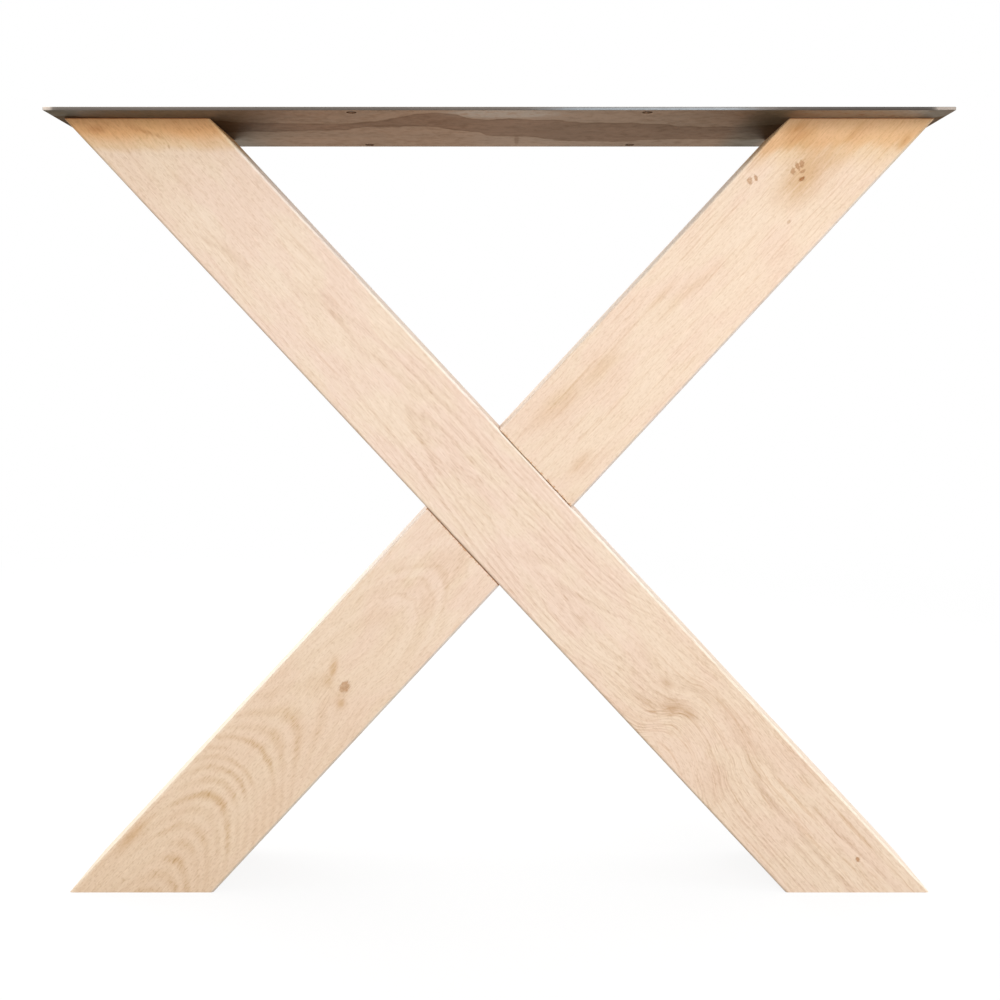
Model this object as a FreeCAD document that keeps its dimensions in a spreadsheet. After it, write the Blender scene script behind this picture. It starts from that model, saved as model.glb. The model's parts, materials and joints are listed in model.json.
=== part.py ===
"""X-shaped table leg: two crossing oak beams, halved into each other, under a screwed-on steel plate.

Millimetres. The floor is z = 0 and the crossing stands over the origin.
X runs along the plate and -Y is the front.
"""

import FreeCAD, Part
import itertools
import math
import os
import Sketcher

from enum import IntEnum
from FreeCAD import Vector

# Sizes that are set by hand: name, value, meaning.
DRIVING_SIZES = (
    ("overall_height", 720, "floor to the top of the plate"),
    ("outer_width", 800, "across the outer corners of the two feet"),
    ("beam_width", 98, "beam section, seen from the front"),
    ("beam_depth", 98, "beam section, front to back"),
    ("arris_radius", 2, "rounding of the beams' long edges"),
    ("shoulder_gap", 0.4, "room between a notch's shoulder and the beam that lies in it"),
    ("plate_thickness", 3, "steel plate"),
    ("plate_end_overhang", 7, "plate past the beams' outer corners"),
    ("plate_side_overhang", 31, "plate past the beams' front and rear faces"),
    ("plate_corner_radius", 1, "plate corners, seen from above"),
    ("plate_edge_chamfer", 0.4, "deburred rim of the plate"),
    ("table_hole_diameter", 9, "holes for the tabletop's bolts"),
    ("table_hole_spacing", 266, "between the two holes in one long edge"),
    ("table_hole_inset", 9, "hole centres from the plate's long edge"),
    ("screw_diameter", 5, "wood screw, over its thread"),
    ("screw_length", 50, "wood screw, with its head"),
    ("screw_tip_length", 7, "pointed end of the wood screw"),
    ("head_rim_height", 0.3, "straight rim of the screw head"),
    ("recess_width", 4.5, "six-lobed drive recess, over its lobes"),
    ("recess_depth", 2, "six-lobed drive recess"),
    ("screw_pitch_along", 36, "between screws, along the plate"),
    ("screw_pitch_across", 48, "between screws, across the plate"),
    ("screw_clearance", 0.2, "around a screw in the plate's hole"),
    ("pilot_clearance", 0.05, "around a screw in the wood"),
    ("pilot_spare_depth", 2, "pilot hole past the screw's point"),
)

# Sizes that follow from the driving ones: name, formula, meaning.
DERIVED_SIZES = (
    ("wood_height", "overall_height - plate_thickness", "floor to the underside of the plate"),
    ("slope", "atan(wood_height / outer_width) + asin(beam_width / sqrt(outer_width^2 + wood_height^2))",
     "angle between a beam and the floor"),
    ("end_cut", "beam_width / sin(slope)", "level cut across a beam's end"),
    ("plate_length", "outer_width + 2 * plate_end_overhang", "steel plate along X"),
    ("plate_depth", "beam_depth + 2 * plate_side_overhang", "steel plate along Y"),
    ("table_hole_rows", "plate_depth - 2 * table_hole_inset", "between the two rows of table holes"),
    ("screw_grip", "screw_length - plate_thickness", "length of a screw in the wood"),
    ("screw_centre", "outer_width / 2 - end_cut / 2 - screw_grip / 2 / tan(slope)",
     "screw group, on the beam's centre line halfway down the screws"),
    ("head_diameter", "2 * screw_diameter", "countersunk screw head"),
    ("head_cone_height", "(head_diameter - screw_diameter) / 2", "90 degree cone under the head"),
    ("plate_screw_hole", "screw_diameter + 2 * screw_clearance", "screw hole in the plate"),
    ("countersink_diameter", "head_diameter + 2 * head_rim_height", "seats the head level with the plate"),
    ("pilot_diameter", "screw_diameter + 2 * pilot_clearance", "pilot hole in the wood"),
    ("pilot_depth", "screw_grip + pilot_spare_depth", "pilot hole in the wood"),
    ("recess_core", "0.73 * recess_width", "round middle of the drive recess"),
    ("recess_lobe", "0.24 * recess_width", "width of one lobe of the drive recess"),
)

RECESS_LOBE_COUNT = 6
COUNTERSINK_ANGLE = 90


class Side(IntEnum):
    """A side of the middle. A beam leans to the side of X on which its top end lies."""

    LEFT = -1
    RIGHT = 1
    FRONT = -1
    REAR = 1


class At(IntEnum):
    """Which point of a sketched line or circle is meant."""

    START = 1
    END = 2
    CENTRE = 3


class Axis(IntEnum):
    """A sketch's own axes."""

    X = -1
    Y = -2


ORIGIN = (Axis.X, At.START)

doc = FreeCAD.newDocument("x_table_leg")
sheet = doc.addObject("Spreadsheet::Sheet", "Sizes")


def fill_sheet():
    """Write one row a size: its meaning, and its value under an alias."""
    rows = [(name, str(value), meaning) for name, value, meaning in DRIVING_SIZES]
    rows += [(name, "=" + formula, meaning) for name, formula, meaning in DERIVED_SIZES]
    for row, (name, content, meaning) in enumerate(rows, start=1):
        sheet.set(f"A{row}", meaning)
        sheet.set(f"B{row}", content)
        sheet.setAlias(f"B{row}", name)
    doc.recompute()


def value_of(expression):
    """The number that an expression on the sheet gives now, angles in degrees."""
    result = sheet.evalExpression(expression)
    return float(getattr(result, "Value", result))


def new_body(label):
    body = doc.addObject("PartDesign::Body", label)
    body.Label = label
    return body


def new_sketch(body, name, plane, height=None):
    """A sketch on one of the body's origin planes, raised by an expression."""
    sketch = body.newObject("Sketcher::SketchObject", name)
    support = next(feature for feature in body.Origin.OriginFeatures if feature.Role == plane)
    sketch.AttachmentSupport = (support, [""])
    sketch.MapMode = "FlatFace"
    if height:
        sketch.setExpression("AttachmentOffset.Base.z", height)
    return sketch


def new_feature(body, kind, name, profile=None, **sizes):
    """A feature whose properties are bound to expressions on the sheet."""
    feature = body.newObject("PartDesign::" + kind, name)
    if profile:
        feature.Profile = profile
        profile.Visibility = False
    for prop, expression in sizes.items():
        feature.setExpression(prop, expression)
    return feature


def dimension(sketch, expression, kind, *where):
    """A sketch constraint bound to an expression."""
    number = value_of(expression)
    if kind == "Angle":
        number = math.radians(number)
    index = sketch.addConstraint(Sketcher.Constraint(kind, *where, number))
    sketch.setExpression(f"Constraints[{index}]", expression)


def relation(sketch, kind, *where):
    sketch.addConstraint(Sketcher.Constraint(kind, *where))


def closed_outline(sketch, points):
    """Straight lines from point to point and back to the first."""
    corners = [Vector(x, y, 0) for x, y in points]
    for here, there in zip(corners, corners[1:] + corners[:1]):
        sketch.addGeometry(Part.LineSegment(here, there))
    for line in range(len(corners)):
        relation(sketch, "Coincident", line, At.END, (line + 1) % len(corners), At.START)


def from_origin(sketch, expression, side, kind, geometry, point):
    """Set how far a point lies from the origin, on the given side of it."""
    ends = (ORIGIN, (geometry, point))
    if side < 0:
        ends = ends[::-1]
    dimension(sketch, expression, kind, *ends[0], *ends[1])


def beam_outline(body, lean):
    """A beam seen from the front: slanting sides, with level cuts at the floor and under the plate."""
    sketch = new_sketch(body, body.Label + "_outline", "XZ_Plane")
    outer = lean * value_of("Sizes.outer_width") / 2
    inner = outer - lean * value_of("Sizes.end_cut")
    top = value_of("Sizes.wood_height")
    closed_outline(sketch, ((outer, top), (inner, top), (-outer, 0), (-inner, 0)))
    top_cut, upper_side, foot_cut, lower_side = range(4)
    relation(sketch, "Horizontal", top_cut)
    relation(sketch, "Horizontal", foot_cut)
    relation(sketch, "Parallel", upper_side, lower_side)
    relation(sketch, "PointOnObject", foot_cut, At.START, Axis.X)
    dimension(sketch, "Sizes.beam_width", "Distance", top_cut, At.START, upper_side)
    dimension(sketch, "Sizes.wood_height", "DistanceY", *ORIGIN, top_cut, At.START)
    from_origin(sketch, "Sizes.outer_width / 2", lean, "DistanceX", top_cut, At.START)
    from_origin(sketch, "Sizes.outer_width / 2", -lean, "DistanceX", foot_cut, At.START)
    return sketch


def notch_outline(body, lean):
    """The other beam's width with room at both shoulders, cut past both sides of this beam."""
    sketch = new_sketch(body, body.Label + "_notch_outline", "XZ_Plane")
    slope = math.radians(value_of("Sizes.slope"))
    own = Vector(lean * math.cos(slope), math.sin(slope), 0)
    other = Vector(-own.x, own.y, 0)
    centre = Vector(0, value_of("Sizes.wood_height") / 2, 0)
    reach_own = own * (value_of("Sizes.beam_width") / 2 / math.sin(2 * slope))
    reach_other = other * (value_of("Sizes.beam_width") / math.sin(2 * slope))
    corners = (centre + reach_own - reach_other, centre + reach_own + reach_other,
               centre - reach_own + reach_other, centre - reach_own - reach_other)
    closed_outline(sketch, [(corner.x, corner.y) for corner in corners])
    shoulder, far_end, other_shoulder, near_end = range(4)
    middle = sketch.addGeometry(Part.Point(centre), True)
    angles = {Side.RIGHT: "Sizes.slope", Side.LEFT: "180 deg - Sizes.slope"}
    dimension(sketch, angles[-lean], "Angle", shoulder)
    dimension(sketch, angles[lean], "Angle", near_end)
    relation(sketch, "Parallel", shoulder, other_shoulder)
    relation(sketch, "Parallel", near_end, far_end)
    notch_width = "Sizes.beam_width + 2 * Sizes.shoulder_gap"
    dimension(sketch, notch_width, "Distance", other_shoulder, At.START, shoulder)
    dimension(sketch, "2 * Sizes.beam_width", "Distance", shoulder, At.START, far_end)
    relation(sketch, "PointOnObject", middle, At.START, Axis.Y)
    dimension(sketch, "Sizes.wood_height / 2", "DistanceY", *ORIGIN, middle, At.START)
    relation(sketch, "Symmetric", shoulder, At.START, other_shoulder, At.START, middle, At.START)
    return sketch


def hole_centres(sketch, diameter, places):
    """Circles of one diameter, each placed by its side of X and Y and an expression for each distance."""
    for side_x, along, side_y, across in places:
        centre = Vector(side_x * value_of(along), side_y * value_of(across), 0)
        radius = value_of(diameter) / 2
        circle = sketch.addGeometry(Part.Circle(centre, Vector(0, 0, 1), radius))
        dimension(sketch, diameter, "Diameter", circle)
        from_origin(sketch, along, side_x, "DistanceX", circle, At.CENTRE)
        from_origin(sketch, across, side_y, "DistanceY", circle, At.CENTRE)


def screw_places(side):
    """The screws in one beam's top, two along and two across the plate."""
    columns = [f"Sizes.screw_centre {sign} Sizes.screw_pitch_along / 2" for sign in "-+"]
    row = "Sizes.screw_pitch_across / 2"
    return [(side, column, row_side, row) for column in columns for row_side in (Side.FRONT, Side.REAR)]


def all_screw_places():
    return screw_places(Side.LEFT) + screw_places(Side.RIGHT)


def edges_where(shape, test):
    """Names of the edges that pass a test."""
    return [f"Edge{number}" for number, edge in enumerate(shape.Edges, start=1) if test(edge)]


def rise(edge):
    """How steeply an edge starts out: 0 is level and 1 is upright."""
    return abs(edge.tangentAt(edge.FirstParameter).z)


def is_level(edge):
    return math.isclose(rise(edge), 0, abs_tol=1e-6)


def is_upright(edge):
    return math.isclose(rise(edge), 1, abs_tol=1e-6)


def is_slanting(edge):
    return not is_level(edge) and not is_upright(edge)


def cut(feature, before):
    """Recompute, and make sure that the cut took something away."""
    doc.recompute()
    if feature.Shape.Volume >= before.Shape.Volume:
        raise RuntimeError(f"{feature.Label} cuts nothing")
    return feature


def make_beam(label, lean, notch_at_front):
    """One beam: rounded long edges, a half-depth notch for the other beam, pilot holes in its top."""
    body = new_body(label)
    blank = new_feature(body, "Pad", label + "_blank", beam_outline(body, lean), Length="Sizes.beam_depth")
    blank.SideType = "Symmetric"
    doc.recompute()

    arrises = new_feature(body, "Fillet", label + "_arrises", Radius="Sizes.arris_radius")
    arrises.Base = (blank, edges_where(blank.Shape, is_slanting))
    doc.recompute()

    notch = new_feature(body, "Pocket", label + "_notch", notch_outline(body, lean))
    notch.Type = "ThroughAll"
    notch.Reversed = notch_at_front
    cut(notch, arrises)

    pilot_sketch = new_sketch(body, label + "_pilot_centres", "XY_Plane", "Sizes.wood_height")
    hole_centres(pilot_sketch, "Sizes.pilot_diameter", screw_places(lean))
    pilots = new_feature(body, "Pocket", label + "_pilots", pilot_sketch, Length="Sizes.pilot_depth")
    cut(pilots, notch)
    return body


def make_plate():
    """The steel plate with its table holes and its countersunk screw holes."""
    body = new_body("top_plate")
    sketch = new_sketch(body, "plate_outline", "XY_Plane", "Sizes.wood_height")
    half_x = value_of("Sizes.plate_length") / 2
    half_y = value_of("Sizes.plate_depth") / 2
    closed_outline(sketch, ((-half_x, -half_y), (half_x, -half_y), (half_x, half_y), (-half_x, half_y)))
    front, right, rear, left = range(4)
    for line in (front, rear):
        relation(sketch, "Horizontal", line)
    for line in (right, left):
        relation(sketch, "Vertical", line)
    relation(sketch, "Symmetric", front, At.START, rear, At.START, *ORIGIN)
    dimension(sketch, "Sizes.plate_length", "DistanceX", front, At.START, front, At.END)
    dimension(sketch, "Sizes.plate_depth", "DistanceY", right, At.START, right, At.END)
    blank = new_feature(body, "Pad", "plate_blank", sketch, Length="Sizes.plate_thickness")
    doc.recompute()

    corners = new_feature(body, "Fillet", "plate_corners", Radius="Sizes.plate_corner_radius")
    corners.Base = (blank, edges_where(blank.Shape, is_upright))
    doc.recompute()

    rim = new_feature(body, "Chamfer", "plate_rim", Size="Sizes.plate_edge_chamfer")
    rim.Base = (corners, edges_where(corners.Shape, is_level))
    doc.recompute()

    table_sketch = new_sketch(body, "table_hole_centres", "XY_Plane", "Sizes.overall_height")
    half_spacing = "Sizes.table_hole_spacing / 2"
    half_rows = "Sizes.table_hole_rows / 2"
    corners_of_pattern = itertools.product((Side.LEFT, Side.RIGHT), (Side.FRONT, Side.REAR))
    table_places = [(side_x, half_spacing, side_y, half_rows) for side_x, side_y in corners_of_pattern]
    hole_centres(table_sketch, "Sizes.table_hole_diameter", table_places)
    table_holes = new_feature(body, "Pocket", "table_holes", table_sketch)
    table_holes.Type = "ThroughAll"
    cut(table_holes, rim)

    screw_sketch = new_sketch(body, "plate_screw_centres", "XY_Plane", "Sizes.overall_height")
    hole_centres(screw_sketch, "Sizes.plate_screw_hole", all_screw_places())
    doc.recompute()
    screw_holes = new_feature(body, "Hole", "plate_screw_holes", screw_sketch)
    screw_holes.DepthType = "ThroughAll"
    screw_holes.HoleCutType = "Countersink"
    screw_holes.HoleCutCustomValues = True
    screw_holes.HoleCutCountersinkAngle = COUNTERSINK_ANGLE
    screw_holes.setExpression("Diameter", "Sizes.plate_screw_hole")
    screw_holes.setExpression("HoleCutDiameter", "Sizes.countersink_diameter")
    cut(screw_holes, table_holes)
    return body


def make_screw():
    """One countersunk wood screw, its head's top at the origin and its point down."""
    body = new_body("wood_screw")
    sketch = new_sketch(body, "screw_half_section", "XZ_Plane")
    head = value_of("Sizes.head_diameter") / 2
    shank = value_of("Sizes.screw_diameter") / 2
    rim = -value_of("Sizes.head_rim_height")
    neck = rim - value_of("Sizes.head_cone_height")
    point = -value_of("Sizes.screw_length")
    shoulder = point + value_of("Sizes.screw_tip_length")
    closed_outline(sketch, ((0, 0), (head, 0), (head, rim), (shank, neck), (shank, shoulder), (0, point)))
    head_top, head_rim, cone, side, tip, axis = range(6)
    relation(sketch, "Coincident", head_top, At.START, *ORIGIN)
    relation(sketch, "Horizontal", head_top)
    for line in (head_rim, side, axis):
        relation(sketch, "Vertical", line)
    dimension(sketch, "Sizes.head_diameter / 2", "DistanceX", head_top, At.START, head_top, At.END)
    dimension(sketch, "Sizes.head_rim_height", "DistanceY", head_rim, At.END, head_rim, At.START)
    dimension(sketch, "Sizes.head_cone_height", "DistanceY", cone, At.END, cone, At.START)
    dimension(sketch, "Sizes.screw_diameter / 2", "DistanceX", axis, At.START, side, At.END)
    dimension(sketch, "Sizes.screw_length", "DistanceY", axis, At.START, axis, At.END)
    dimension(sketch, "Sizes.screw_tip_length", "DistanceY", tip, At.END, tip, At.START)
    turned = new_feature(body, "Revolution", "screw_turned", sketch)
    turned.ReferenceAxis = (sketch, ["V_Axis"])
    doc.recompute()

    core_sketch = new_sketch(body, "recess_core_circle", "XY_Plane")
    core_radius = value_of("Sizes.recess_core") / 2
    core_circle = core_sketch.addGeometry(Part.Circle(Vector(0, 0, 0), Vector(0, 0, 1), core_radius))
    relation(core_sketch, "Coincident", core_circle, At.CENTRE, *ORIGIN)
    dimension(core_sketch, "Sizes.recess_core", "Diameter", core_circle)
    core = cut(new_feature(body, "Pocket", "recess_core", core_sketch, Length="Sizes.recess_depth"), turned)

    lobe_sketch = new_sketch(body, "recess_lobe_circle", "XY_Plane")
    lobe_centre = "(Sizes.recess_width - Sizes.recess_lobe) / 2"
    lobe_radius = value_of("Sizes.recess_lobe") / 2
    lobe_place = Vector(value_of(lobe_centre), 0, 0)
    lobe_circle = lobe_sketch.addGeometry(Part.Circle(lobe_place, Vector(0, 0, 1), lobe_radius))
    relation(lobe_sketch, "PointOnObject", lobe_circle, At.CENTRE, Axis.X)
    dimension(lobe_sketch, lobe_centre, "DistanceX", *ORIGIN, lobe_circle, At.CENTRE)
    dimension(lobe_sketch, "Sizes.recess_lobe", "Diameter", lobe_circle)
    lobe = cut(new_feature(body, "Pocket", "recess_lobe", lobe_sketch, Length="Sizes.recess_depth"), core)

    lobes = body.newObject("PartDesign::PolarPattern", "recess_lobes")
    lobes.Originals = [lobe]
    lobes.Axis = (core_sketch, ["N_Axis"])
    lobes.Angle = 360
    lobes.Occurrences = RECESS_LOBE_COUNT
    body.Tip = lobes
    cut(lobes, lobe)
    return body


def make_screw_group():
    """Every plate screw, each a copy of the one screw set into its hole."""
    screw = make_screw()
    copies = []
    for number, (side_x, along, side_y, across) in enumerate(all_screw_places(), start=1):
        copy = doc.addObject("App::Link", f"plate_screw_{number}")
        copy.LinkedObject = screw
        copy.setExpression("Placement.Base.x", f"{side_x} * ({along})")
        copy.setExpression("Placement.Base.y", f"{side_y} * ({across})")
        copy.setExpression("Placement.Base.z", "Sizes.overall_height")
        copies.append(copy)
    group = doc.addObject("Part::Compound", "plate_screws")
    group.Label = "plate_screws"
    group.Links = copies
    doc.recompute()
    return group


def check(nodes):
    """Stop if any object failed, a sketch is loose or a node's shape is bad."""
    for item in doc.Objects:
        if "Invalid" in item.State or "Error" in item.State:
            raise RuntimeError(f"{item.Label} failed: {item.State}")
        if item.TypeId == "Sketcher::SketchObject" and not item.FullyConstrained:
            raise RuntimeError(f"{item.Label} is not fully constrained")
    for node in nodes:
        if node.Shape.isNull() or not node.Shape.isValid():
            raise RuntimeError(f"{node.Label} has no valid shape")


def export(nodes):
    os.makedirs("parts", exist_ok=True)
    for node in nodes:
        node.Shape.exportStep(os.path.join("parts", node.Label + ".step"))
        box = node.Shape.BoundBox
        print(f"{node.Label}: {len(node.Shape.Solids)} solids, {node.Shape.Volume / 1000:.2f} cm3, "
              f"x {box.XMin:.2f} to {box.XMax:.2f}, y {box.YMin:.2f} to {box.YMax:.2f}, "
              f"z {box.ZMin:.2f} to {box.ZMax:.2f}")


fill_sheet()
leg_nodes = [
    make_beam("front_lap_beam", Side.LEFT, notch_at_front=False),
    make_beam("rear_lap_beam", Side.RIGHT, notch_at_front=True),
    make_plate(),
    make_screw_group(),
]
doc.recompute()
check(leg_nodes)
export(leg_nodes)
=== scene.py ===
"""Looks of the X-shaped table leg: oak, raw steel and zinc in a pale studio, seen as in the photograph."""

import json
import math
from typing import NamedTuple

import bpy
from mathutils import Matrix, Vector


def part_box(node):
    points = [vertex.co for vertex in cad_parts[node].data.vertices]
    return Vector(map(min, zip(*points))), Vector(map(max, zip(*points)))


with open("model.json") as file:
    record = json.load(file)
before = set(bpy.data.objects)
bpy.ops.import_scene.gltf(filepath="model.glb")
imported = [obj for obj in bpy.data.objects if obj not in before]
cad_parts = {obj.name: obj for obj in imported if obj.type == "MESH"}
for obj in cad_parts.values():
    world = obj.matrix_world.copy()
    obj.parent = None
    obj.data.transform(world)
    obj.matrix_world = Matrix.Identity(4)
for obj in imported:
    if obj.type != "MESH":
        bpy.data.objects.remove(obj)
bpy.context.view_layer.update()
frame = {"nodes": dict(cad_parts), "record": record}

MILLIMETRE = 0.001
WHITE = (1, 1, 1, 1)

# The photograph's camera, in metres and degrees. The image is taken as PICTURE pixels square.
PICTURE = 1000
CAMERA_PLACE = (0.0022, -1.0920, 0.4792)
CAMERA_LOOKS_DOWN = 1.133
FOCAL_PIXELS = 1131.2
OPTICAL_AXIS_PIXEL = (501.8, 399.6)
SENSOR_WIDTH = 36.0

# Studio light. Lamps: place and aim in metres, side of the square in metres, watts.
AMBIENT_STRENGTH = 0.45
LAMPS = {
    "key": ((0.8, -2.0, 0.95), (0, 0, 0.4), 1.4, 25.5),
    "top": ((-0.3, 0.3, 2.5), (0, 0, 0.3), 2.0, 48),
    "side": ((2.4, -0.7, 0.9), (0, 0, 0.4), 1.0, 15),
    "fill": ((-1.7, -1.6, 0.8), (0, 0, 0.35), 1.4, 10),
    "back": ((-1.5, 1.8, 0.9), (0, 0, 0.5), 1.2, 20),
}
# The floor: its own grey, and how white it shows near the leg and further off (metres from the middle).
FLOOR_REACH = 9.0
FLOOR_GREY = 0.3
FLOOR_SHOWN = 0.92
FLOOR_ROUGHNESS = 0.9
WHITE_SHARE_NEAR = 0.88
WHITE_SHARE_STARTS = 0.7
WHITE_SHARE_FULL = 2.2

# The beams' own frame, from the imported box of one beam: both have a square section.
BEAM_LOW, BEAM_HIGH = (Vector(corner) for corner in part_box("front_lap_beam"))
BEAM_WIDTH = BEAM_HIGH.y - BEAM_LOW.y
SPAN = BEAM_HIGH.x - BEAM_LOW.x
RISE = BEAM_HIGH.z - BEAM_LOW.z
BEAM_SLOPE = math.atan2(RISE, SPAN) + math.asin(BEAM_WIDTH / math.hypot(SPAN, RISE))
CROSSING = (0, 0, BEAM_LOW.z + RISE / 2)
# Beam millimetres: the front face's place in depth, half the section, and the height of the beams' tops.
FRONT_FACE = BEAM_LOW.y / MILLIMETRE
HALF_BEAM = -FRONT_FACE
WOOD_TOP = BEAM_HIGH.z / MILLIMETRE


class Noise(NamedTuple):
    """Cloudy noise: grain along X and across it in millimetres, detail, and a shift that sets it apart."""

    along: float
    across: float
    detail: float
    shift: float = 0.0


class Field:
    """A number that varies over a surface. Arithmetic on it adds nodes to its graph."""

    def __init__(self, graph, socket):
        self.graph = graph
        self.socket = socket

    def __add__(self, other):
        return self.graph.math("ADD", self, other)

    def __sub__(self, other):
        return self.graph.math("SUBTRACT", self, other)

    def __mul__(self, other):
        return self.graph.math("MULTIPLY", self, other)

    def __truediv__(self, other):
        return self.graph.math("DIVIDE", self, other)

    def size(self):
        return self.graph.math("ABSOLUTE", self)

    def highest(self, other):
        return self.graph.math("MAXIMUM", self, other)

    def lowest(self, other):
        return self.graph.math("MINIMUM", self, other)

    def step(self, low, high):
        """0 up to low, 1 from high on and smooth between. Low may be the higher one."""
        return self.graph.map_range(self, low, high, "SMOOTHSTEP")

    def between(self, low, high):
        """Stretch 0 to 1 over low to high."""
        return self * (high - low) + low

    def centred(self):
        """Shift 0 to 1 so that its middle is 0."""
        return self - 0.5


class Graph:
    """A material's node tree, written as short expressions."""

    def __init__(self, name):
        self.material = bpy.data.materials.new(name)
        self.material.use_nodes = True
        self.tree = self.material.node_tree
        self.shader = self.tree.nodes["Principled BSDF"]

    def node(self, kind, *values, **settings):
        """A node with its settings, and its first inputs fed in order."""
        made = self.tree.nodes.new("ShaderNode" + kind)
        for name, value in settings.items():
            setattr(made, name, value)
        for socket, value in zip(made.inputs, values):
            self.feed(socket, value)
        return made

    def feed(self, socket, value):
        if isinstance(value, Field):
            value = value.socket
        if isinstance(value, bpy.types.NodeSocket):
            self.tree.links.new(value, socket)
        else:
            socket.default_value = value

    def math(self, operation, *values):
        return Field(self, self.node("Math", *values, operation=operation).outputs[0])

    def map_range(self, value, low, high, kind):
        return Field(self, self.node("MapRange", value, low, high, interpolation_type=kind).outputs[0])

    def hypotenuse(self, a, b):
        return self.math("SQRT", a * a + b * b)

    def length(self, vector):
        return Field(self, self.node("VectorMath", vector, operation="LENGTH").outputs["Value"])

    def world(self):
        """Metres from the origin."""
        return self.node("TexCoord").outputs["Object"]

    def place(self, centre=(0, 0, 0), turn=0.0):
        """Millimetres from a centre, with X and Z turned about Y."""
        scale = (MILLIMETRE,) * 3
        placed = self.node("Mapping", self.world(), centre, (0, turn, 0), scale, vector_type="TEXTURE")
        return placed.outputs[0]

    def parts(self, vector):
        return [Field(self, socket) for socket in self.node("SeparateXYZ", vector).outputs]

    def noise(self, place, noise, seed=0.0):
        """Cloudy noise from 0 to 1."""
        stretch = (1 / noise.along, 1 / noise.across, 1 / noise.across)
        shift = (seed + noise.shift,) * 3
        stretched = self.node("VectorMath", place, stretch, shift, operation="MULTIPLY_ADD")
        made = self.node("TexNoise", stretched.outputs[0])
        made.inputs["Scale"].default_value = 1.0
        made.inputs["Detail"].default_value = noise.detail
        return Field(self, made.outputs[0])

    def random(self, number):
        """One value from 0 to 1 for each whole number."""
        made = self.node("TexWhiteNoise", noise_dimensions="1D")
        self.feed(made.inputs["W"], number)
        return Field(self, made.outputs[0])

    def reach(self, place, centre, reach, turn=0.0):
        """0 in the middle of an ellipsoid and 1 at its skin; turn is in degrees, in the front face."""
        angle = (0, -math.radians(turn), 0)
        inside = self.node("Mapping", place, centre, angle, reach, vector_type="TEXTURE")
        return self.length(inside.outputs[0])

    def curve(self, value, points):
        """A smooth curve through given points."""
        xs, ys = zip(*points)
        made = self.node("FloatCurve")
        line = made.mapping.curves[0]
        low, high = min(ys), max(ys)
        while len(line.points) < len(points):
            line.points.new(0.5, 0.5)
        for point, x, y in zip(line.points, xs, ys):
            point.location = ((x - xs[0]) / (xs[-1] - xs[0]), (y - low) / (high - low))
        made.mapping.update()
        self.feed(made.inputs["Value"], self.map_range(value, xs[0], xs[-1], "LINEAR"))
        return Field(self, made.outputs[0]).between(low, high)

    def mix(self, factor, first, second, blend="MIX"):
        made = self.node("Mix", factor, data_type="RGBA", blend_type=blend)
        colours = [socket for socket in made.inputs if socket.type == "RGBA"]
        self.feed(colours[0], first)
        self.feed(colours[1], second)
        return next(socket for socket in made.outputs if socket.type == "RGBA")

    def tinted(self, colour, *layers):
        """A colour under layers, each an amount and the tint that multiplies what is below it."""
        for amount, tint in layers:
            colour = self.mix(amount, colour, (*tint, 1), "MULTIPLY")
        return colour

    def surface(self, **values):
        """Feed the shader's inputs; their names are written with underscores."""
        for name, value in values.items():
            self.feed(self.shader.inputs[name.replace("_", " ")], value)

    def bump(self, height, strength, distance):
        made = self.node("Bump")
        made.inputs["Strength"].default_value = strength
        made.inputs["Distance"].default_value = distance
        self.feed(made.inputs["Height"], height)
        self.feed(self.shader.inputs["Normal"], made.outputs[0])


def strongest(fields):
    top = fields[0]
    for field in fields[1:]:
        top = top.highest(field)
    return top


class Mark(NamedTuple):
    """A spot on the front of a beam, in beam millimetres and degrees: a knot, a smudge or a plain place."""

    along: float
    across: float
    length: float
    width: float
    strength: float
    turn: float = 0.0


class BoldRing(NamedTuple):
    """A growth ring that stands out: its radius around the pith, half its width, and its strength."""

    radius: float
    half_width: float
    strength: float


class Beam(NamedTuple):
    """How one beam was sawn from its log. Curves run along the beam, in millimetres."""

    # The beam's turn about Y, and what sets its noises apart from those of the other beam.
    turn: float
    seed: float
    # The pith's place behind the front face and aside of the beam's middle, and how the fibres bend.
    pith_depth: tuple
    pith_side: tuple
    bend: tuple
    # A ring's width, the share of it where it is darkest, its strength far aside of the pith, the strength
    # of the faintest, and the rings' tint. Some rings stand out.
    ring_width: float
    ring_crest: float
    ring_legs: float
    ring_least: float
    ring_tint: tuple
    bold_rings: tuple
    # How far the rings wander, slowly and quickly.
    drift: float
    waver: float
    # The strength of the rings, of long dark lines and of the tan colour.
    figure: tuple
    lines: tuple
    tan: tuple
    # The stain under the plate, partly real stain and partly painted shade of the plate's overhang: its
    # strength and depth, and how its rim blurs, streaks and wanders.
    stain: float
    soaked: float
    tide_blur: float
    tide_streaks: float
    tide_wander: float
    # Painted light and shade on the edges: a painted highlight on the upper arris, painted light on the
    # upper side and painted shade on the lower arris; and which half is notched: 1 for the rear, -1 for the
    # front.
    upper_arris_highlight: tuple
    upper_side_light: tuple
    lower_arris_shade: tuple
    notched: int
    # Marks: where rings fade, and the smudges and knots.
    plain: Mark
    smudge_tint: tuple
    smudges: tuple
    knots: tuple


# Painted light and shade on the beams' arrises and sides: painted highlights on the upper arrises, painted
# light on the upper sides as if lit from above, painted shade on the lower arrises.
HIGHLIT_ARRIS = (1.06, 1.17, 1.27)
FAINT_HIGHLIT_ARRIS = (1.02, 1.06, 1.10)
TOP_LIT_SIDE = (1.07, 1.16, 1.25)
SHADED_ARRIS = (0.85, 0.84, 0.83)
GREY_SHADED_ARRIS = (0.83, 0.91, 1.03)

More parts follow.
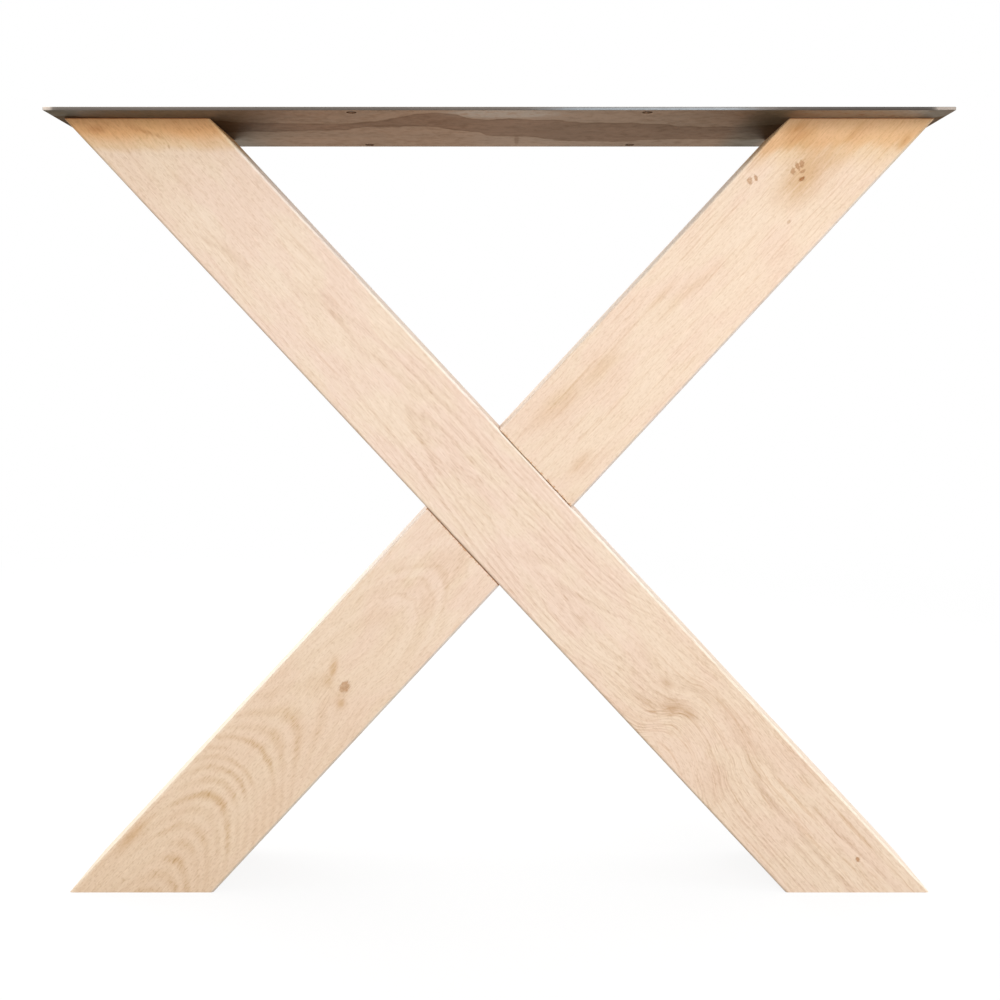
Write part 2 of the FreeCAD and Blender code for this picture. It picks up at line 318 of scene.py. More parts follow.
FALLING = Beam(
    turn=BEAM_SLOPE,
    seed=3.7,
    pith_depth=((-520, 76), (-120, 63), (100, 56.5), (230, 52), (520, 50)),
    pith_side=((-520, 6), (-118, 1), (100, -8), (200, 9), (520, 12)),
    bend=(
        (-520, 0), (150, 0), (208, 2), (231, 6), (240, 11), (246, 18), (254, 26), (268, 31), (279, 30),
        (302, 22), (320, 14), (343, 4), (385, 0), (520, 0),
    ),
    ring_width=2.7,
    ring_crest=0.15,
    ring_legs=1.0,
    ring_least=0.25,
    ring_tint=(0.77, 0.67, 0.575),
    bold_rings=(BoldRing(63.0, 0.7, 0.5), BoldRing(61.2, 0.45, 0.35), BoldRing(56.6, 0.5, 0.45)),
    drift=4.0,
    waver=1.8,
    figure=(
        (-520, 0.34), (-200, 0.32), (-110, 0.7), (150, 0.6), (215, 0.9), (255, 1.0), (285, 0.5), (345, 0.7),
        (520, 0.7),
    ),
    lines=((-520, 0.4), (-150, 0.3), (150, 0.3), (290, 1.0), (520, 1.0)),
    tan=((-520, 0.45), (-430, 0.35), (-370, 0.1), (-100, 0.0), (120, 0.05), (240, 0.3), (520, 0.25)),
    stain=1.0,
    soaked=28,
    tide_blur=4,
    tide_streaks=5,
    tide_wander=0.35,
    upper_arris_highlight=HIGHLIT_ARRIS,
    upper_side_light=TOP_LIT_SIDE,
    lower_arris_shade=SHADED_ARRIS,
    notched=1,
    plain=Mark(278, -40, 36, 26, 0.95),
    smudge_tint=(0.75, 0.63, 0.52),
    smudges=(
        # Under the plate.
        Mark(-472, -1, 24, 3, 0.9, 27),
        Mark(-507, -34, 13, 6, 0.8, 40),
        # In the swirl.
        Mark(244, -11, 18, 9, 1.0, 56),
        Mark(246, -5, 30, 10, 0.6, 25),
        Mark(259, -3, 16, 6, 0.7, 20),
        Mark(225, 2, 12, 8, 0.6, 10),
        Mark(222, -23, 26, 5, 0.6, 14),
        Mark(226, -23.5, 20, 2.4, 0.9, 17),
        Mark(236, -24, 10, 2.0, 0.9, 42),
        Mark(243, -13, 10, 2.6, 1.2, 55),
        Mark(250, -13, 11, 2.0, 0.8, 52),
        Mark(260, -1, 14, 2.4, 1.1, 17),
        # Between the swirl and the foot.
        Mark(326, -28, 30, 20, 0.3, -40),
        Mark(421, -12, 34, 3.5, 0.6, 2),
        Mark(373, -1, 40, 6, 0.45, -4),
        # Faint ones in the upper half.
        Mark(-340, -22, 45, 7, 0.35, 4),
        Mark(-362, -29, 18, 4, 0.5, 12),
        Mark(-250, 16, 26, 4, 0.4, 2),
        Mark(-222, 9, 32, 3, 0.4, -2),
        Mark(-290, 31, 40, 3, 0.3, 1),
        Mark(-150, 14, 40, 4, 0.3, 4),
    ),
    knots=(
        Mark(466.5, 21, 2.6, 2.0, 0.9),
        Mark(-450, 4, 1.8, 1.3, 0.4),
    ),
)
RISING = Beam(
    turn=-BEAM_SLOPE,
    seed=8.2,
    pith_depth=((-520, 46), (-377, 82), (-250, 114), (-150, 119), (-60, 128), (60, 133), (520, 150)),
    pith_side=(
        (-520, -24), (-434, -5), (-377, 6), (-345, 11), (-270, 9), (-200, 4), (-80, 0), (0, -22),
        (100, -60), (520, -92),
    ),
    bend=((-520, 0), (-262, 0), (-218, 6), (-176, 0), (520, 0)),
    ring_width=4.2,
    ring_crest=0.45,
    ring_legs=0.35,
    ring_least=0.45,
    ring_tint=(0.78, 0.66, 0.48),
    bold_rings=(
        BoldRing(102.8, 1.7, 0.7),
        BoldRing(106.8, 1.1, 0.45),
        BoldRing(111, 1.6, 0.65),
        BoldRing(122.2, 0.5, 0.3),
        BoldRing(124.4, 0.6, 0.35),
        BoldRing(126.5, 0.8, 0.45),
    ),
    drift=2.5,
    waver=1.8,
    figure=(
        (-520, 0.65), (-420, 0.75), (-375, 1.0), (-340, 1.0), (-322, 0.6), (-300, 0.85), (-240, 0.6),
        (-60, 0.4), (60, 0.2), (520, 0.25),
    ),
    lines=((-520, 0.1), (0, 0.3), (200, 0.8), (520, 0.8)),
    tan=(
        (-520, 0.78), (-300, 0.56), (-150, 0.3), (-60, 0.15), (60, 0.28), (300, 0.24), (430, 0.38),
        (520, 0.45),
    ),
    stain=0.6,
    soaked=38,
    tide_blur=15,
    tide_streaks=24,
    tide_wander=1.0,
    upper_arris_highlight=FAINT_HIGHLIT_ARRIS,
    upper_side_light=TOP_LIT_SIDE,
    lower_arris_shade=GREY_SHADED_ARRIS,
    notched=-1,
    plain=Mark(-327, 4, 13, 44, 0.85),
    smudge_tint=(0.80, 0.67, 0.49),
    smudges=(
        # Beside the lower knot, and at the foot.
        Mark(-213, 12, 16, 6, 1.0, 28),
        Mark(-226, 6, 12, 9, 0.5, 60),
        Mark(-233, -16, 9, 8, 0.8, 60),
        Mark(-228, -9, 16, 10, 0.4),
        Mark(-455, 42, 36, 9, 0.7),
        # Above the crossing.
        Mark(108, 26, 52, 16, 0.5, -6),
        Mark(156, 20, 40, 14, 0.5, -8),
        Mark(80, -28, 24, 11, 0.5),
        Mark(268, 9, 60, 9, 0.35, -6),
        Mark(245, 24, 24, 5, 0.45),
        # Around the upper knots.
        Mark(414, 2, 50, 29, 1.0),
        Mark(436, -4, 34, 20, 0.7),
        Mark(440, 31, 28, 15, 1.0, -10),
        Mark(468, -4, 30, 5, 0.6),
        Mark(500, -42, 16, 8, 0.8),
        Mark(442, 36, 22, 10, 1.0, -20),
        Mark(434, 24, 16, 8, 0.7, -20),
    ),
    knots=(
        # The lower knot.
        Mark(-219, -8, 6.2, 4.8, 0.7),
        # The upper knots: a cluster, a pair and a small one.
        Mark(410.5, 13.3, 3.6, 2.3, 0.65, 50),
        Mark(416.6, 13.3, 3.8, 1.9, 0.75, 70),
        Mark(421.3, 12.1, 3.8, 2.3, 0.7, 40),
        Mark(416.5, 6.8, 3.0, 1.4, 0.65, -20),
        Mark(411, 2.5, 3.4, 2.2, 1.0, -30),
        Mark(377.3, 36.6, 3.5, 2.5, 0.7, 45),
        Mark(382.9, 34.2, 3.4, 1.6, 0.8, 60),
        Mark(374.4, -15.8, 2.8, 1.6, 0.5),
    ),
)

# Oak colours, linear, and the tints of what lies on them.
PALE_OAK = (0.87, 0.70, 0.55, 1)
ROSY_OAK = (0.87, 0.678, 0.555, 1)
TAN_OAK = (0.80, 0.60, 0.415, 1)
STREAK_TINT = (0.94, 0.90, 0.855)
LINE_TINT = (0.91, 0.85, 0.78)
PORE_TINT = (0.84, 0.765, 0.68)
FLECK_TINT = (1.05, 1.06, 1.08)
GRAIN_TINT = (0.87, 0.82, 0.75)
KNOT_TINT = (0.54, 0.33, 0.16)
# The stain under the plate: partly real stain, partly painted shade of the plate's overhang.
STAIN_AND_SHADE_TINT = (0.95, 0.74, 0.53)
TIDE_TINT = (0.93, 0.85, 0.69)
# Painted contact shade along the top of the wood, where it meets the plate.
TOP_CONTACT_SHADE_TINT = (0.45, 0.30, 0.19)
JOINT_TINT = (0.78, 0.60, 0.44)

# The oak's noises, and from where to where each starts to show and shows in full.
DRIFT = Noise(170, 42, 1)
WAVER = Noise(34, 8, 2)
PATCHES = Noise(80, 22, 1, 5)
RING_PATCHES = (0.3, 0.62)
BOLD_PATCHES = (0.2, 0.5)
BLOTCHES = Noise(60, 26, 2, 9)
ROSY_BLOTCHES = (0.38, 0.62)
STREAKS = Noise(38, 2.0, 2, 2)
DARK_STREAKS = (0.45, 0.8)
SMUDGED_STREAKS = (-0.1, 0.6)
LINES = Noise(95, 1.8, 1, 11)
DARK_LINES = (0.54, 0.72)
PORES = Noise(10, 0.95, 1, 7)
DARK_PORES = (0.5, 0.74)
FLECKS = Noise(9, 1.1, 1, 4)
LIGHT_FLECKS = (0.5, 0.78)
GRAIN = Noise(3.6, 1.25, 1, 6)
DARK_GRAIN = (0.48, 0.72)
RAGGED = Noise(2.2, 1.6, 2, 3)
TORN = Noise(2.4, 2.4, 2)
TORN_BITS = (0.45, 0.7)

# Rings: the share of a ring where its band ends, and how far aside of the pith they are full and faint.
RING_ENDS = 0.9
LEGS_FULL, LEGS_FAINT = 8, 46
RING_PATCH_LEAST = 0.3
BOLD_PATCH_LEAST = 0.5
# Fibres: where across the beam they bend in full and not at all, and how far they waver.
BEND_FULL, BEND_NONE = -15, 60
FIBRE_WAVER_IN_DEPTH = 3
FIBRE_WAVER_ACROSS = 4
# How strong one thing is where another is missing and where it is full, and what blotches add to the tan.
RING_BY_PORE = (0.75, 1.2)
PORE_BY_RING = (0.3, 0.9)
STREAK_BY_TAN = (0.75, 0.4)
GRAIN_BY_TAN = (0.45, 1)
TAN_BY_BLOTCH = 0.5
# Marks: their reach in depth in millimetres, and their rims and hearts as shares of their reach.
MARK_DEPTH = 40
PLAIN_RIM = (0.6, 1.1)
KNOT_RIM = (1.25, 0.5)
KNOT_HEART = (0.0, 0.6)
KNOT_HEART_STRENGTH = 0.75
KNOT_RAGGED = 1.3
# The stain and painted shade under the plate, and the painted contact shade along the top, in millimetres.
TIDE_BY_DRIFT = 20
TIDE_BY_BLOTCH = 16
STAIN_AND_SHADE_STARTS, STAIN_AND_SHADE_FULL = 2, 18
TOP_CONTACT_SHADE_STARTS, TOP_CONTACT_SHADE_FULL = 1.4, 0.2
# Arrises, sides and the joint, in millimetres.
ARRIS = 2.0
ARRIS_BLUR = 0.4
SIDE_STARTS, SIDE_FULL = 0.5, 0.1
JOINT_STARTS, JOINT_FULL = 1.1, 0.1
JOINT_TORN = 1.6
LAP_BLUR = 1
# The planed surface.
OAK_ROUGHNESS = (0.5, 0.72)
OAK_SPECULAR = 0.3
OAK_BUMP = 0.25
OAK_RELIEF = 0.2 * MILLIMETRE
STREAK_HEIGHT = 0.5


class Oak(Graph):
    """Planed oak: growth rings around a leaning pith, pores, knots and the marks of handling, with painted
    light and shade on the arrises and sides and painted shade under the plate.
    """

    def __init__(self, name, beam):
        super().__init__(name)
        self.beam = beam
        self.inside = self.place(CROSSING, beam.turn)
        self.along, self.depth, self.across = self.parts(self.inside)
        self.drift = self.cloud(DRIFT).centred()
        self.waver = self.cloud(WAVER).centred()
        self.blotch = self.cloud(BLOTCHES)
        self.bend = self.profile(beam.bend) * self.across.step(BEND_NONE, BEND_FULL)
        fibre_depth = self.depth + self.waver * FIBRE_WAVER_IN_DEPTH
        fibre_across = self.across - self.bend + self.waver * FIBRE_WAVER_ACROSS
        self.fibre = self.node("CombineXYZ", self.along, fibre_depth, fibre_across).outputs[0]
        self.streak = self.strand(STREAKS)
        self.pore = self.strand(PORES).step(*DARK_PORES)

    def cloud(self, noise):
        """Noise that keeps to the beam's axes."""
        return self.noise(self.inside, noise, self.beam.seed)

    def strand(self, noise):
        """Noise that follows the fibres."""
        return self.noise(self.fibre, noise, self.beam.seed)

    def profile(self, points):
        """A curve along the beam."""
        return self.curve(self.along, points)

    def how_far(self, mark):
        """0 in the middle of a mark on the front face and 1 at its rim."""
        centre = (mark.along, FRONT_FACE, mark.across)
        return self.reach(self.inside, centre, (mark.length, MARK_DEPTH, mark.width), mark.turn)

    def rings(self):
        """The growth rings: an even run of them, each with its own strength, and some bold ones."""
        beam = self.beam
        behind = self.profile(beam.pith_depth) + FRONT_FACE - self.depth
        aside = self.across - self.profile(beam.pith_side) - self.bend
        radius = self.hypotenuse(aside, behind) + self.waver * beam.waver
        count = (radius + self.drift * beam.drift) / beam.ring_width
        share = self.math("FRACT", count)
        own = self.random(self.math("FLOOR", count)).step(0, 1).between(beam.ring_least, 1)
        band = share.step(0, beam.ring_crest) * share.step(RING_ENDS, beam.ring_crest) * own

        patch = self.cloud(PATCHES)
        band = band * patch.step(*RING_PATCHES).between(RING_PATCH_LEAST, 1)
        legs = aside.size().step(LEGS_FAINT, LEGS_FULL).between(beam.ring_legs, 1)
        plain = self.how_far(beam.plain).step(*PLAIN_RIM).between(1 - beam.plain.strength, 1)
        bold = strongest([
            (radius - ring.radius).size().step(ring.half_width, 0) * ring.strength
            for ring in beam.bold_rings
        ])
        bold = bold * legs * patch.step(*BOLD_PATCHES).between(BOLD_PATCH_LEAST, 1)
        return (band * (self.profile(beam.figure) * legs * plain)).highest(bold)

    def bare(self):
        """The wood itself."""
        rings = self.rings()
        tan = self.profile(self.beam.tan)
        line = self.strand(LINES).step(*DARK_LINES)
        fleck = self.strand(FLECKS).step(*LIGHT_FLECKS)
        grain = self.cloud(GRAIN).step(*DARK_GRAIN)
        colour = self.mix(self.blotch.step(*ROSY_BLOTCHES), PALE_OAK, ROSY_OAK)
        return self.tinted(
            self.mix(tan + self.blotch.centred() * TAN_BY_BLOTCH, colour, TAN_OAK),
            (rings * self.pore.between(*RING_BY_PORE), self.beam.ring_tint),
            (self.streak.step(*DARK_STREAKS) * tan.between(*STREAK_BY_TAN), STREAK_TINT),
            (line * self.profile(self.beam.lines), LINE_TINT),
            (self.pore * rings.between(*PORE_BY_RING), PORE_TINT),
            (fleck, FLECK_TINT),
            (grain * tan.between(*GRAIN_BY_TAN), GRAIN_TINT),
        )

    def marked(self, colour):
        """Smudges and knots on the front face."""
        smudges = strongest([self.how_far(mark).step(1, 0) * mark.strength for mark in self.beam.smudges])
        ragged = self.cloud(RAGGED).centred() * KNOT_RAGGED
        knots = []
        for mark in self.beam.knots:
            far = self.how_far(mark) + ragged
            heart = far.step(*KNOT_HEART).between(KNOT_HEART_STRENGTH, 1)
            knots.append(far.step(*KNOT_RIM) * heart * mark.strength)
        return self.tinted(
            colour,
            (smudges * (self.streak + self.waver).step(*SMUDGED_STREAKS), self.beam.smudge_tint),
            (strongest(knots), KNOT_TINT),
        )

    def stained_and_shaded(self, colour):
        """The stain under the plate, partly painted shade of its overhang, its rim, and painted contact
        shade along the top where the wood meets the plate.
        """
        beam = self.beam
        height = self.parts(self.place())[2]
        wander = self.drift * TIDE_BY_DRIFT + self.blotch.centred() * TIDE_BY_BLOTCH
        soaked = height + self.waver * beam.tide_streaks + wander * beam.tide_wander
        tide = WOOD_TOP - beam.soaked
        return self.tinted(
            colour,
            (soaked.step(tide + STAIN_AND_SHADE_STARTS, tide + STAIN_AND_SHADE_FULL) * beam.stain, STAIN_AND_SHADE_TINT),
            (soaked.step(tide - beam.tide_blur, tide + beam.tide_blur), TIDE_TINT),
            (height.step(WOOD_TOP - TOP_CONTACT_SHADE_STARTS, WOOD_TOP - TOP_CONTACT_SHADE_FULL), TOP_CONTACT_SHADE_TINT),
        )

    def lit_and_shaded_edges(self, colour):
        """The upper side and upper arris paler with painted light from above, and the lower arris darker
        with painted shade.
        """
        corner = 2 * HALF_BEAM - ARRIS
        arris = (corner - ARRIS_BLUR, corner + ARRIS_BLUR)
        out = self.depth.size()
        return self.tinted(
            colour,
            (self.across.step(HALF_BEAM - SIDE_STARTS, HALF_BEAM - SIDE_FULL), self.beam.upper_side_light),
            ((self.across + out).step(*arris), self.beam.upper_arris_highlight),
            ((out - self.across).step(*arris), self.beam.lower_arris_shade),
        )

    def joined(self, colour):
        """The dark, slightly torn line where the notched half meets the other beam."""
        other_beam = self.place(CROSSING, -self.beam.turn)
        torn = self.noise(other_beam, TORN, self.beam.seed).step(*TORN_BITS)
        from_middle = self.parts(other_beam)[2].size() - torn * JOINT_TORN
        line = from_middle.step(HALF_BEAM + JOINT_STARTS, HALF_BEAM + JOINT_FULL)
        notched_half = (self.depth * self.beam.notched).step(-LAP_BLUR, LAP_BLUR)
        return self.tinted(colour, (line * notched_half, JOINT_TINT))

    def finish(self):
        colour = self.bare()
        for change in (self.marked, self.stained_and_shaded, self.lit_and_shaded_edges, self.joined):
            colour = change(colour)
        roughness = self.streak.between(*OAK_ROUGHNESS)
        self.surface(Base_Color=colour, Roughness=roughness, Specular_IOR_Level=OAK_SPECULAR)
        self.bump(self.streak * STREAK_HEIGHT - self.pore, OAK_BUMP, OAK_RELIEF)
        return self.material


class Patch(NamedTuple):
    """A soft spot on the plate: middle and reach in millimetres, the share that is full, and strength."""

    centre: tuple
    reach: tuple
    full: float
    strength: float


# The plate and its table holes, in millimetres, from the frame.
PLATE_LOW, PLATE_HIGH = (Vector(corner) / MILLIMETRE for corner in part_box("top_plate"))
TABLE_BOLTS = next(mount["dims"] for mount in frame["record"]["mounts"] if mount["name"] == "table_bolts")
HOLE_X = TABLE_BOLTS["spacing_x_mm"] / 2
HOLE_Y = TABLE_BOLTS["spacing_y_mm"] / 2
HOLE_RADIUS = TABLE_BOLTS["hole_r_mm"]
TABLE_HOLES = [(x, y) for x in (-HOLE_X, HOLE_X) for y in (-HOLE_Y, HOLE_Y)]

# The oil stain on the underside of the plate: its front and its rear rim.
STAIN_FRONT = (
    (-420, -60), (-250, -34), (-193, -26), (-158, -25), (-122, -34), (-85, -54), (-62, -66), (-40, -63),
    (-18, -44), (26, -43), (73, -33), (146, -25), (201, -12), (260, -20), (420, -60),
)
STAIN_REAR = (
    (-420, 30), (-250, 8), (-213, 5), (-156, 3), (-118, -14), (-77, -14), (-39, 5), (-22, 8), (-10, 26),
    (21, 29), (60, 46), (111, 54), (161, 44), (249, 42), (420, 50),
)
# How much of the front edge is bare ground steel, and how pale the rest of it is, along the plate.
EDGE_SHINE = (
    (-407, 0), (5, 0), (36, 0.3), (54, 0.65), (72, 1), (190, 0.95), (225, 0.5), (262, 0), (407, 0),
)
EDGE_TONE = (
    (-407, 1), (-403, 0.95), (-398, 0.3), (-394, 0.17), (-300, 0.17), (-205, 0.14), (-100, 0.12),
    (30, 0.12), (225, 0.12), (270, 0.03), (386, 0.01), (391, 0.36), (407, 0.36),
)
# How much painted shade the plate takes along its length, darkest where it meets the beams, how pale it is,
# and how dark it is at its ends.
PLATE_SHADE = (
    (-407, 0.85), (-300, 0.9), (-230, 0.4), (-160, 0.0), (0, 0), (90, 0.2), (150, 0.25), (215, 0.3),
    (250, 1.0), (266, 0.5), (286, 0.3), (407, 0.25),
)
PLATE_PALE = (
    (-407, 0.3), (-290, 0.3), (-220, 0.0), (-60, 0.0), (20, 0.25), (110, 0.1), (240, 0.0), (280, 0.8),
    (360, 1.0), (407, 0.8),
)
PLATE_ENDS = ((-407, 0.6), (-394, 0.6), (-372, 0), (372, 0), (394, 0.55), (407, 0.55))
# A pale patch near the front, and a run of oil towards the rear.
PALE_PATCH = Patch((4, -66, PLATE_LOW.z), (74, 26, 8), 0.4, 0.8)
OIL_RUN = Patch((17, 44, PLATE_LOW.z), (3, 34, 8), 0.5, 0.6)

# Steel colours, linear, and the tints of what lies on them.
WARM_STEEL = (0.315, 0.199, 0.131, 1)
COOL_STEEL = (0.288, 0.19, 0.129, 1)
PALE_STEEL = (0.45, 0.395, 0.345, 1)
UPPER_STEEL = (0.20, 0.195, 0.19, 1)
GROUND_STEEL = (0.205, 0.225, 0.24, 1)
PALE_EDGE = (0.52, 0.45, 0.39, 1)
DARK_EDGE = (0.055, 0.048, 0.043, 1)
GRAZING_TINT = (0.76, 0.69, 0.62, 1)
END_GRAZING_TINT = (0.10, 0.08, 0.06, 1)
OIL_TINT = (0.60, 0.48, 0.40)
END_TINT = (0.52, 0.50, 0.46)
RIM_TINT = (0.80, 0.74, 0.66)
# Painted shade on the plate near the beams, cooler to offset the wood's warm reflected colour.
SHADE_TINT = (0.50, 0.69, 0.82)
SCALE_TINT = (0.80, 0.75, 0.69)
# Painted shade on the walls of the table holes.
HOLE_SHADE_TINT = (0.45, 0.37, 0.31)

# The steel's noises, from where to where each starts to show and shows in full, and how strongly.
STEEL_CLOUDS = Noise(90, 36, 3)
COOL_CLOUDS = (0.35, 0.65)
ROLLED = Noise(120, 4, 3, 4)
DARK_ROLLED = (0.45, 0.8)
ROLLED_STRENGTH = 0.4
MOTTLE = Noise(9, 7, 4, 2)
PALE_MOTTLE = (0.2, 0.6)
DARK_MOTTLE = (0.4, 0.75)
SPECKS = Noise(3, 2, 2, 9)
DARK_SPECKS = (0.5, 0.8)
SPECK_STRENGTH = 0.7
WOBBLE = Noise(22, 14, 5, 6)

# The oil: how far its rim wobbles, where it starts and is full, and where its dark rim comes and goes.
OIL_WOBBLE = 20
OIL_STARTS, OIL_FULL = -2.5, 2.5
OIL_BY_CLOUD = (0.65, 1)
RIM_COMES = (-3, 0)
RIM_GOES = (6, 1)
# Where the faces, the holes' walls, the front edge and its ground steel start and are full, in millimetres.
FACE_BLUR = 1
HOLE_STARTS, HOLE_FULL = 0.4, 0.1
EDGE_STARTS, EDGE_FULL = 0.9, 0.2
SHINE_FULL = 0.4
# How much of the edge's tone specks change, and the share of ground steel at the top of the edge.
EDGE_BY_SPECK = (0.8, 1.2)
SHINE_AT_TOP = 0.3
# The rolled surface.
STEEL_ROUGHNESS = (0.4, 0.66)
STEEL_BUMP = 0.12
STEEL_RELIEF = 0.2 * MILLIMETRE
MOTTLE_HEIGHT, SPECK_HEIGHT = 0.6, 0.4


class RawSteel(Graph):
    """Hot-rolled plate: mottled scale, an oil stain underneath and a ground front edge."""

    def __init__(self, name):
        super().__init__(name)
        self.inside = self.place()
        self.x, self.y, self.z = self.parts(self.inside)
        self.cloud = self.noise(self.inside, STEEL_CLOUDS)
        self.mottle = self.noise(self.inside, MOTTLE)
        self.speck = self.noise(self.inside, SPECKS)
        self.underneath = self.z.step(PLATE_HIGH.z - FACE_BLUR, PLATE_LOW.z + FACE_BLUR)
        self.ends = self.profile(PLATE_ENDS)

    def profile(self, points):
        """A curve along the plate."""
        return self.curve(self.x, points)

    def spot(self, patch):
        """A patch's strength, 0 outside it."""
        return self.reach(self.inside, patch.centre, patch.reach).step(1, patch.full) * patch.strength

    def bare(self):
        """The rolled faces with their scale, and painted shade along the plate near the beams."""
        colour = self.mix(self.cloud.step(*COOL_CLOUDS), WARM_STEEL, COOL_STEEL)
        pale = self.profile(PLATE_PALE).highest(self.spot(PALE_PATCH))
        colour = self.mix(pale * self.mottle.step(*PALE_MOTTLE), colour, PALE_STEEL)
        colour = self.tinted(colour, (self.profile(PLATE_SHADE), SHADE_TINT), (self.ends, END_TINT))
        rolled = self.noise(self.inside, ROLLED)
        return self.tinted(
            self.mix(self.underneath, UPPER_STEEL, colour),
            (rolled.step(*DARK_ROLLED) * ROLLED_STRENGTH, SCALE_TINT),
            (self.mottle.step(*DARK_MOTTLE), SCALE_TINT),
            (self.speck.step(*DARK_SPECKS) * SPECK_STRENGTH, SCALE_TINT),
        )

    def oiled(self, colour):
        """The oil stain underneath and its rim."""
        wobble = self.noise(self.inside, WOBBLE).centred() * OIL_WOBBLE
        behind_front = self.y - self.profile(STAIN_FRONT)
        before_rear = self.profile(STAIN_REAR) - self.y
        within = behind_front.lowest(before_rear) + wobble
        oil = within.step(OIL_STARTS, OIL_FULL) * self.cloud.between(*OIL_BY_CLOUD)
        rim = within.step(*RIM_COMES) * within.step(*RIM_GOES)
        return self.tinted(
            colour,
            (oil.highest(self.spot(OIL_RUN)) * self.underneath, OIL_TINT),
            (rim * self.underneath, RIM_TINT),
        )

    def bored(self, colour):
        """Painted shade on the walls of the table holes."""
        for hole_x, hole_y in TABLE_HOLES:
            from_axis = self.hypotenuse(self.x - hole_x, self.y - hole_y)
            wall = from_axis.step(HOLE_RADIUS + HOLE_STARTS, HOLE_RADIUS + HOLE_FULL)
            colour = self.tinted(colour, (wall, HOLE_SHADE_TINT))
        return colour

    def edged(self, colour):
        """The front edge, dark or pale, and ground bright for a stretch."""
        front = self.y.step(PLATE_LOW.y + EDGE_STARTS, PLATE_LOW.y + EDGE_FULL)
        tone = self.profile(EDGE_TONE) * self.speck.between(*EDGE_BY_SPECK)
        edge = self.mix(tone, DARK_EDGE, PALE_EDGE)
        downwards = self.z.step(PLATE_HIGH.z, PLATE_LOW.z + SHINE_FULL)
        shine = self.profile(EDGE_SHINE) * downwards.between(SHINE_AT_TOP, 1)
        return self.mix(front, colour, self.mix(shine, edge, GROUND_STEEL))

    def finish(self):
        colour = self.bare()
        for change in (self.oiled, self.bored, self.edged):
            colour = change(colour)
        grazing = self.mix(self.ends * self.underneath, GRAZING_TINT, END_GRAZING_TINT)
        roughness = (self.mottle * 0.5 + self.cloud * 0.5).between(*STEEL_ROUGHNESS)
        self.surface(Base_Color=colour, Metallic=1.0, Specular_Tint=grazing, Roughness=roughness)
        self.bump(self.mottle * MOTTLE_HEIGHT + self.speck * SPECK_HEIGHT, STEEL_BUMP, STEEL_RELIEF)
        return self.material


ZINC = (0.66, 0.65, 0.62, 1)
DULL_ZINC = (0.48, 0.47, 0.45, 1)
ZINC_CLOUDS = Noise(3, 3, 3)
DULL_CLOUDS = (0.35, 0.65)
ZINC_ROUGHNESS = (0.22, 0.5)
ZINC_BUMP = 0.1
ZINC_RELIEF = 0.1 * MILLIMETRE


def zinc(name):
    """Zinc-plated screws, a little dulled."""
    graph = Graph(name)
    cloud = graph.noise(graph.place(), ZINC_CLOUDS)
    colour = graph.mix(cloud.step(*DULL_CLOUDS), ZINC, DULL_ZINC)
    graph.surface(Base_Color=colour, Metallic=1.0, Roughness=cloud.between(*ZINC_ROUGHNESS))
    graph.bump(cloud, ZINC_BUMP, ZINC_RELIEF)
    return graph.material


def seen_directly(tree):
    """1 for what the camera, a mirror or a glass sees, 0 for what lights a surface."""
    path = tree.nodes.new("ShaderNodeLightPath")
    seen = path.outputs["Is Camera Ray"]
    for other in ("Is Glossy Ray", "Is Transmission Ray"):
        either = tree.nodes.new("ShaderNodeMath")
        either.operation = "MAXIMUM"
        tree.links.new(seen, either.inputs[0])
        tree.links.new(path.outputs[other], either.inputs[1])
        seen = either.outputs[0]
    return seen


def make_camera():
    data = bpy.data.cameras.new("photo_camera")
    data.sensor_width = SENSOR_WIDTH
    data.lens = FOCAL_PIXELS / PICTURE * SENSOR_WIDTH
    data.shift_x = (PICTURE / 2 - OPTICAL_AXIS_PIXEL[0]) / PICTURE
    data.shift_y = (OPTICAL_AXIS_PIXEL[1] - PICTURE / 2) / PICTURE
    camera = bpy.data.objects.new("photo_camera", data)
    camera.location = CAMERA_PLACE
    camera.rotation_euler = (math.radians(90 - CAMERA_LOOKS_DOWN), 0, 0)
    bpy.context.scene.collection.objects.link(camera)
    bpy.context.scene.camera = camera


def make_lamp(name, place, aim, side, watts):
    data = bpy.data.lights.new(name, "AREA")
    data.shape = "SQUARE"
    data.size = side
    data.energy = watts
    lamp = bpy.data.objects.new(name, data)
    lamp.location = place
    lamp.rotation_euler = (Vector(aim) - Vector(place)).to_track_quat("-Z", "Y").to_euler()
    bpy.context.scene.collection.objects.link(lamp)


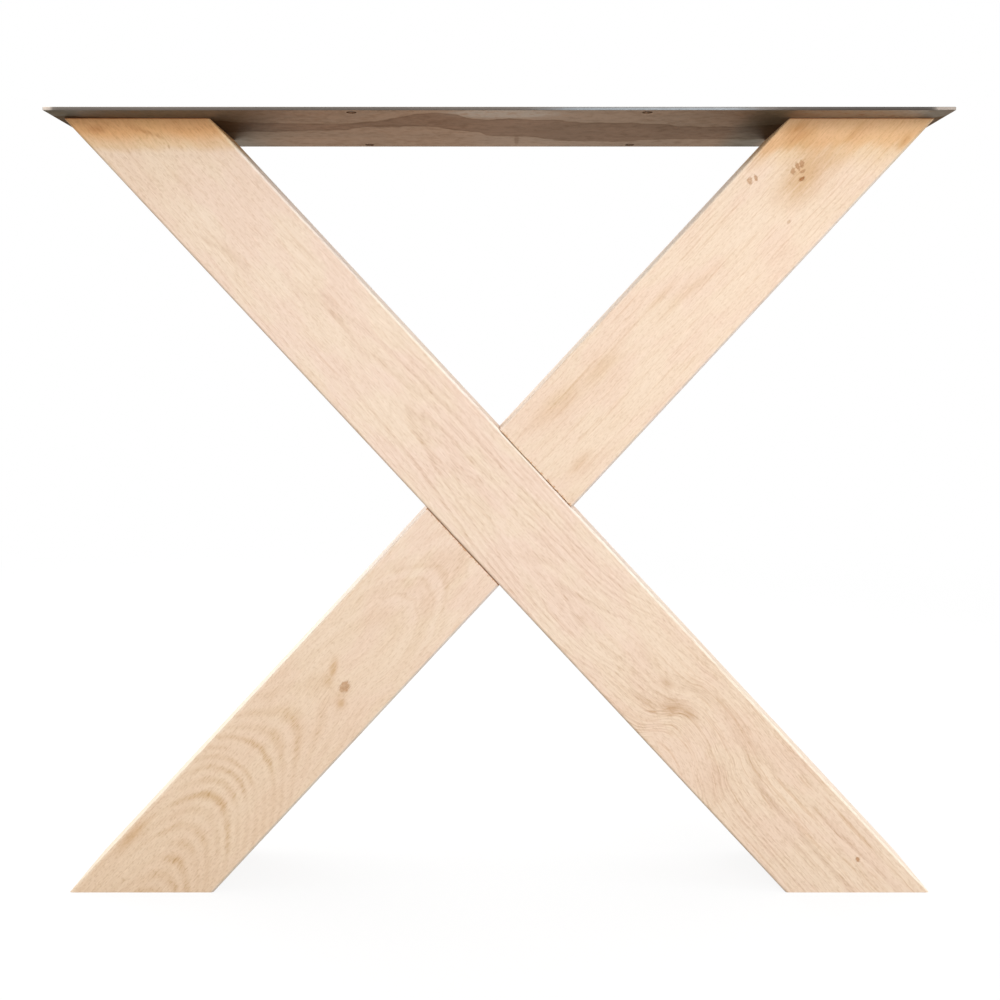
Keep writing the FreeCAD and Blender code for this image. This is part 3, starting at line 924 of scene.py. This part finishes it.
def make_world():
    """Even light all round, and plain white where it is seen directly."""
    world = bpy.data.worlds.new("studio")
    world.use_nodes = True
    tree = world.node_tree
    strength = tree.nodes.new("ShaderNodeMapRange")
    strength.inputs["To Min"].default_value = AMBIENT_STRENGTH
    tree.links.new(seen_directly(tree), strength.inputs["Value"])
    background = tree.nodes["Background"]
    background.inputs["Color"].default_value = WHITE
    tree.links.new(strength.outputs[0], background.inputs["Strength"])
    bpy.context.scene.world = world


def floor_finish(name):
    """Seen directly it is white, with a faint shadow near the leg. What it throws on the leg is grey."""
    graph = Graph(name)
    seen = Field(graph, seen_directly(graph.tree))
    away = graph.length(graph.world())
    share = seen * away.step(WHITE_SHARE_STARTS, WHITE_SHARE_FULL).between(WHITE_SHARE_NEAR, 1)
    grey = seen.between(FLOOR_GREY, FLOOR_SHOWN)
    colour = graph.node("CombineXYZ", grey, grey, grey).outputs[0]
    graph.surface(Base_Color=colour, Roughness=FLOOR_ROUGHNESS)
    glow = graph.node("Emission", WHITE)
    blend = graph.node("MixShader", share, graph.shader.outputs[0], glow.outputs[0])
    graph.feed(graph.tree.nodes["Material Output"].inputs["Surface"], blend.outputs[0])
    return graph.material


def make_floor():
    sides = ((-1, -1), (1, -1), (1, 1), (-1, 1))
    mesh = bpy.data.meshes.new("floor")
    mesh.from_pydata([(x * FLOOR_REACH, y * FLOOR_REACH, 0) for x, y in sides], [], [(0, 1, 2, 3)])
    mesh.materials.append(floor_finish("floor"))
    floor = bpy.data.objects.new("floor", mesh)
    bpy.context.scene.collection.objects.link(floor)


make_camera()
make_world()
make_floor()
for lamp_name, lamp in LAMPS.items():
    make_lamp(lamp_name, *lamp)
finishes = {
    "front_lap_beam": Oak("oak_falling", FALLING).finish(),
    "rear_lap_beam": Oak("oak_rising", RISING).finish(),
    "top_plate": RawSteel("raw_steel").finish(),
    "plate_screws": zinc("zinc"),
}
for node_name, finish in finishes.items():
    materials = frame["nodes"][node_name].data.materials
    materials.clear()
    materials.append(finish)
bpy.context.scene.view_settings.view_transform = "Standard"
